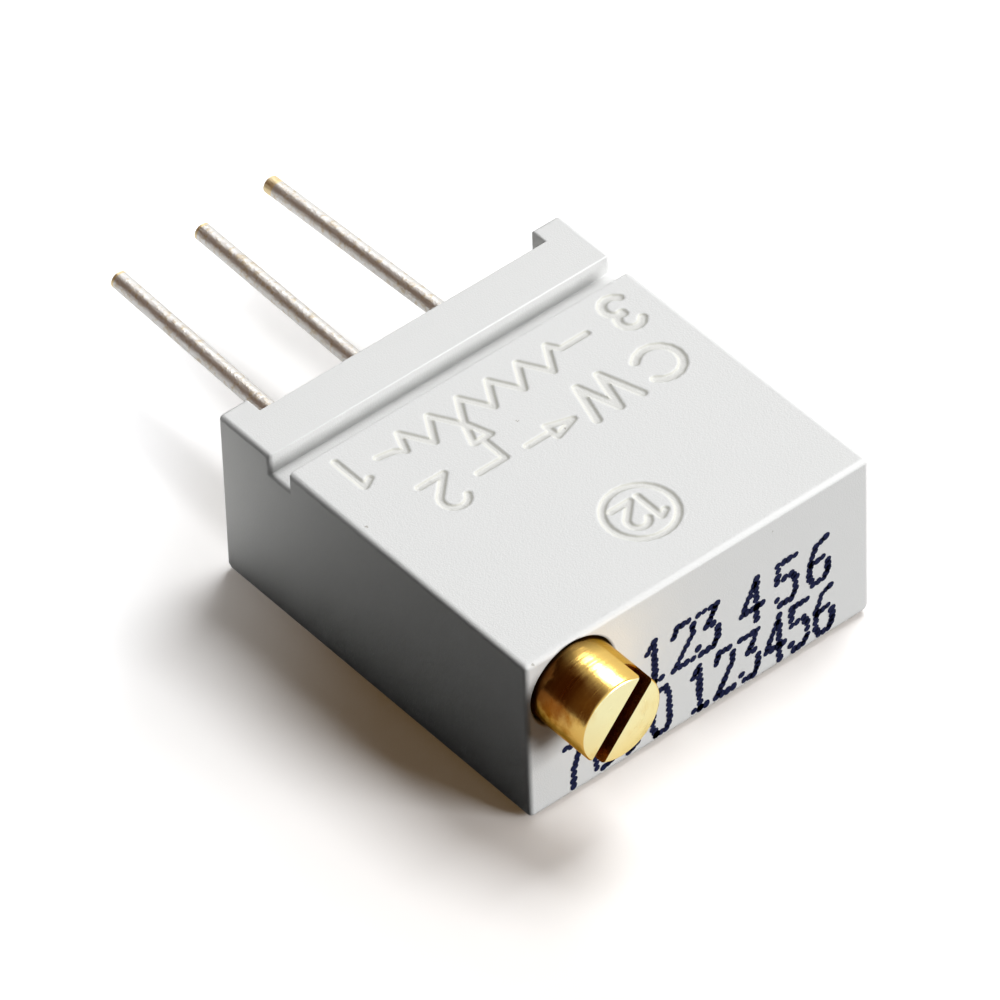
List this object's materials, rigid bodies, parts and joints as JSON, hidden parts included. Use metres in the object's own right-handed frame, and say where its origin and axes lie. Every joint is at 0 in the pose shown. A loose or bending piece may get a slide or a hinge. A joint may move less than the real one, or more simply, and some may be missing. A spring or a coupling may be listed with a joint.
{
  "type": "trimmer potentiometer",
  "caption": "Multi-turn trimmer potentiometer: square grey moulded case with recessed circuit marks, slotted brass adjusting screw at a corner of one end, straight wire leads out of the other.",
  "frame": {"origin": "centre of the plain broad face that the part lies on", "axes": "+Y towards the leads, +Z from the plain broad face to the marked broad face, +X towards the third lead"},
  "size_m": [0.01, 0.0197, 0.0049],
  "materials": {
    "case_plastic": "fine satin moulded plastic, pale grey, soft edges",
    "screw_brass": "bright turned brass",
    "ring_rubber": "smooth black elastomer",
    "retainer_steel": "stamped strip",
    "wheel_plastic": "moulded plastic",
    "spring_metal": "stamped springy copper alloy",
    "ceramic": "fired alumina",
    "cermet_ink": "fired resistive film",
    "conductor_film": "fired silver film",
    "tinned_wire": "hot tinned, slightly rough",
    "solder": "smooth solder",
    "potting": "cured epoxy resin",
    "marking_ink": "dark blue sprayed ink dots"
  },
  "bodies": {
    "case": {"housing": "case_plastic", "screw_retainer": "retainer_steel", "ceramic_plate": "ceramic", "resistive_track": "cermet_ink", "collector_film": "conductor_film", "end_film_1": "conductor_film", "end_film_3": "conductor_film", "lead_1": "tinned_wire", "lead_2": "tinned_wire", "lead_3": "tinned_wire", "solder_1": "solder", "solder_2": "solder", "solder_3": "solder", "end_seal": "potting"},
    "screw": {"adjustment_screw": "screw_brass", "seal_ring": "ring_rubber"},
    "wheel": {"worm_wheel": "wheel_plastic", "contact_spring": "spring_metal"}
  },
  "joints": [
    {"name": "screw_turn", "type": "hinge", "parent": "case", "child": "screw", "pos_m": [-0.00367, -0.00511, 0.00356], "axis": [0, 1, 0], "range_deg": [-4500, 4500]},
    {"name": "wheel_turn", "type": "hinge", "parent": "case", "child": "wheel", "pos_m": [0.00061, -0.00067, 0.00356], "axis": [0, 0, 1], "range_deg": [-136.4, 136.4]}
  ],
  "couplings": [
    {"joint": "wheel_turn", "follows": "screw_turn", "ratio": 0.030303}
  ]
}
